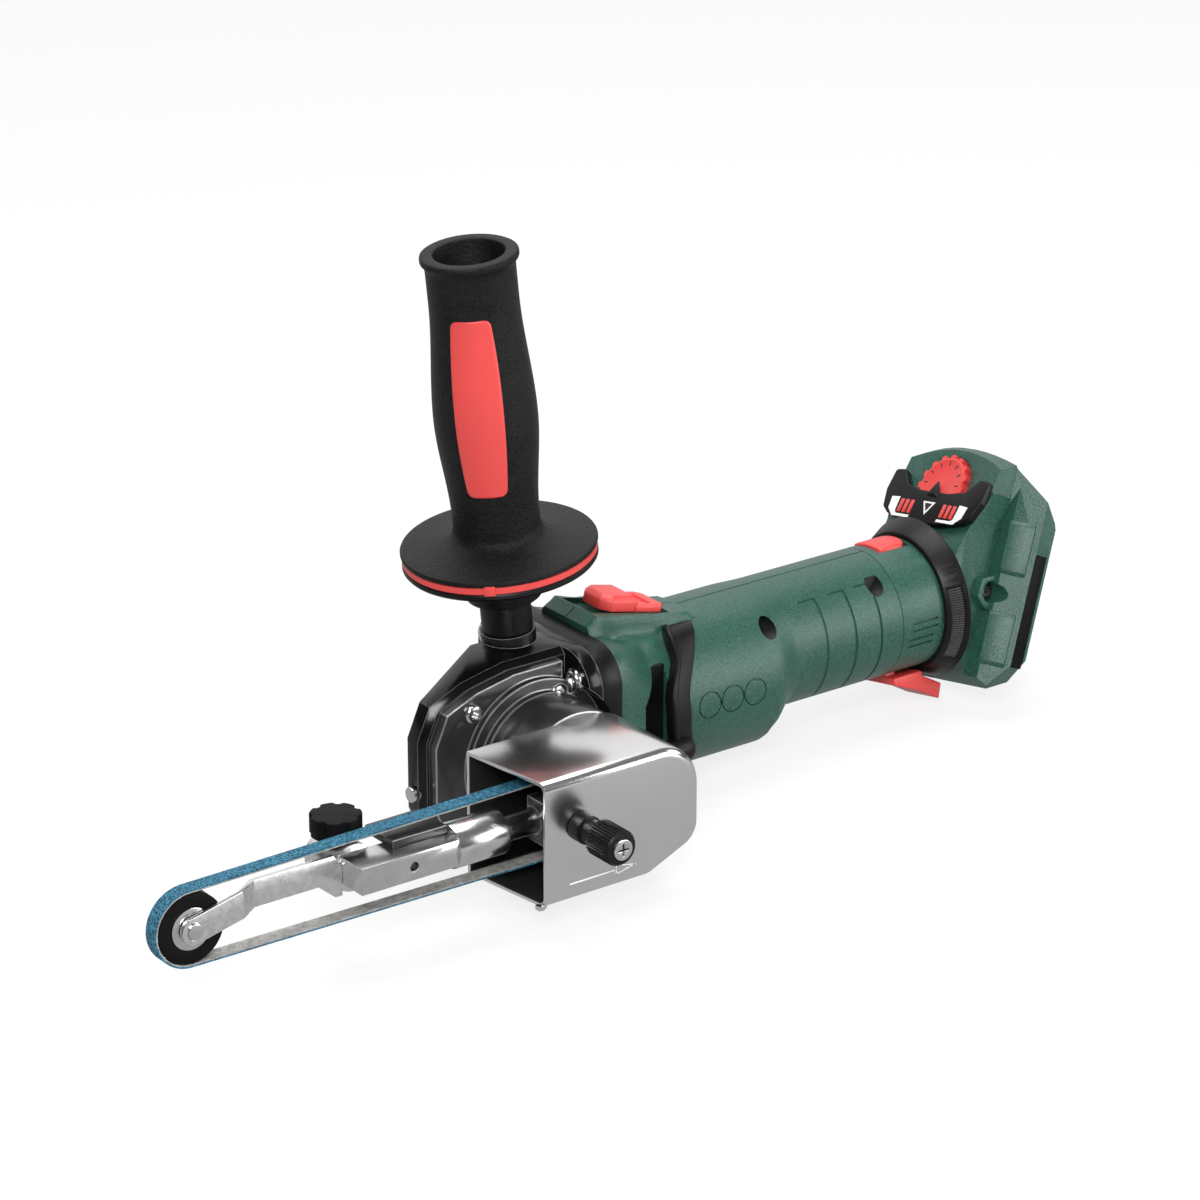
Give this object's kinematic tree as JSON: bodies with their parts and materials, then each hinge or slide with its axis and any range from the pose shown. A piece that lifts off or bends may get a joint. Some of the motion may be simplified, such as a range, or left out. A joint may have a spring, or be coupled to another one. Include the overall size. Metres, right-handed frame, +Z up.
{
  "type": "cordless power file",
  "caption": "Cordless power file with a narrow sanding belt on a sprung arm, a swivelling belt guard, a leaning side handle and a turning battery foot.",
  "frame": {"origin": "middle of the underside of the whole tool, on the plane it stands on", "axes": "+X along the motor axis to the battery foot, -Y towards the belt, +Z up along the side handle"},
  "size_m": [0.4473, 0.168, 0.2314],
  "materials": {
    "green_shell": "satin moulded plastic with a fine grain",
    "black_plastic": "matt moulded plastic",
    "grip_plastic": "textured moulded plastic",
    "red_plastic": "satin moulded plastic",
    "black_casting": "die-cast, satin black paint",
    "grey_casting": "die-cast, dark grey",
    "bright_sheet": "polished nickel plate",
    "zinc_sheet": "galvanised sheet with a mottled bloom",
    "steel": "machined steel",
    "dark_steel": "blackened steel",
    "abrasive": "blue abrasive grain on woven backing",
    "rubber": "matt rubber",
    "copper": "enamelled winding",
    "board": "circuit board",
    "mesh": "woven wire",
    "contact": "plated contact",
    "lamp": "clear red lens"
  },
  "bodies": {
    "housing": {"motor_shell_left": "green_shell", "motor_shell_right": "green_shell", "shell_screws": "dark_steel", "air_deflector_left": "black_plastic", "air_deflector_right": "black_plastic", "motor_flange": "grey_casting", "gear_housing": "black_casting", "gear_cover": "grey_casting", "cover_screws": "steel", "head_screws": "steel", "grease_plug": "steel", "stator": "copper", "rotor_bearings": "steel", "spindle_bearings": "steel", "switch_unit": "black_plastic", "control_board": "board"},
    "rotor_set": {"rotor": "steel", "cooling_fan": "black_plastic", "pinion": "dark_steel"},
    "spindle_set": {"spindle": "steel", "crown_gear": "dark_steel", "drive_pulley": "dark_steel", "pulley_screw": "steel"},
    "belt_head": {"belt_guard": "bright_sheet", "guard_collar": "grey_casting", "tension_bracket": "grey_casting", "tension_rod": "steel", "sanding_belt": "abrasive"},
    "tracking_set": {"tracking_knob": "black_plastic", "tracking_screw": "steel"},
    "arm_set": {"tension_tube": "steel", "arm_bar": "zinc_sheet", "backing_plate": "dark_steel", "belt_arm": "zinc_sheet", "clamp_boss": "zinc_sheet", "roller_pin": "steel", "roller_bearing": "steel", "tension_spring": "dark_steel"},
    "clamp": {"clamp_knob": "black_plastic"},
    "roller": {"contact_roller": "rubber"},
    "switch": {"slide_switch": "red_plastic"},
    "foot": {"foot_shell_left": "green_shell", "foot_shell_right": "green_shell", "foot_screw": "dark_steel", "indicator_panel": "black_plastic", "indicator_lights": "lamp", "dust_filter_frame": "black_plastic", "dust_filter_mesh": "mesh", "terminal_block": "black_plastic", "contact_blades": "contact", "rail_strips": "rubber", "lever_pin": "steel"},
    "dial": {"speed_dial": "red_plastic"},
    "button": {"lock_button": "red_plastic"},
    "lever": {"lock_lever": "red_plastic"},
    "side_handle": {"handle_grip": "grip_plastic", "handle_inlay": "red_plastic", "damper_ring": "red_plastic", "handle_base": "black_plastic", "handle_stud": "steel"}
  },
  "joints": [
    {"name": "motor_spin", "type": "hinge", "parent": "housing", "child": "rotor_set", "pos_m": [0.04966, 0.03782, 0.037], "axis": [1, 0, 0], "continuous": true},
    {"name": "spindle_spin", "type": "hinge", "parent": "housing", "child": "spindle_set", "pos_m": [-0.02784, 0.00782, 0.037], "axis": [0, 1, 0], "continuous": true},
    {"name": "roller_spin", "type": "hinge", "parent": "arm_set", "child": "roller", "pos_m": [-0.20891, -0.03468, 0.037], "axis": [0, 1, 0], "continuous": true},
    {"name": "head_swivel", "type": "hinge", "parent": "housing", "child": "belt_head", "pos_m": [-0.02784, -0.00718, 0.037], "axis": [0, 1, 0], "range_deg": [-60, 60]},
    {"name": "arm_tension", "type": "slide", "parent": "belt_head", "child": "arm_set", "axis": [1, 0, 0], "range_m": [0, 0.006], "stiffness_N_per_m": 2000, "springref_m": -0.01, "deforming": ["tension_spring"]},
    {"name": "tracking_turn", "type": "hinge", "parent": "belt_head", "child": "tracking_set", "pos_m": [-0.05754, -0.07218, 0.042], "axis": [0, -1, 0], "range_deg": [-180, 180]},
    {"name": "clamp_turn", "type": "hinge", "parent": "arm_set", "child": "clamp", "pos_m": [-0.13861, -0.02183, 0.052], "axis": [0, 0, 1], "range_deg": [-90, 270]},
    {"name": "switch_slide", "type": "slide", "parent": "housing", "child": "switch", "axis": [-0.9724, 0, 0.2334], "range_m": [0, 0.006]},
    {"name": "foot_swivel", "type": "hinge", "parent": "housing", "child": "foot", "pos_m": [0.18716, 0.03782, 0.0425], "axis": [1, 0, 0], "range_deg": [-124, 146]},
    {"name": "dial_turn", "type": "hinge", "parent": "foot", "child": "dial", "pos_m": [0.20143, 0.04568, 0.08294], "axis": [-0.7664, 0.1226, 0.6305], "range_deg": [-135, 135]},
    {"name": "button_press", "type": "slide", "parent": "foot", "child": "button", "axis": [0, -0.1908, -0.9816], "range_m": [0, 0.002], "stiffness_N_per_m": 900, "springref_m": -0.003},
    {"name": "lever_swing", "type": "hinge", "parent": "foot", "child": "lever", "pos_m": [0.16016, 0.03343, 0.01992], "axis": [0, 0.9816, -0.1908], "range_deg": [0, 12], "stiffness_Nm_per_rad": 0.2, "springref_deg": -17.19},
    {"name": "handle_turn", "type": "hinge", "parent": "housing", "child": "side_handle", "pos_m": [-0.02732, 0.03782, 0.13667], "axis": [-0.1045, 0, 0.9945], "range_deg": [0, 360]}
  ],
  "couplings": [
    {"joint": "spindle_spin", "follows": "motor_spin", "ratio": 0.42308},
    {"joint": "roller_spin", "follows": "motor_spin", "ratio": 0.48397}
  ]
}
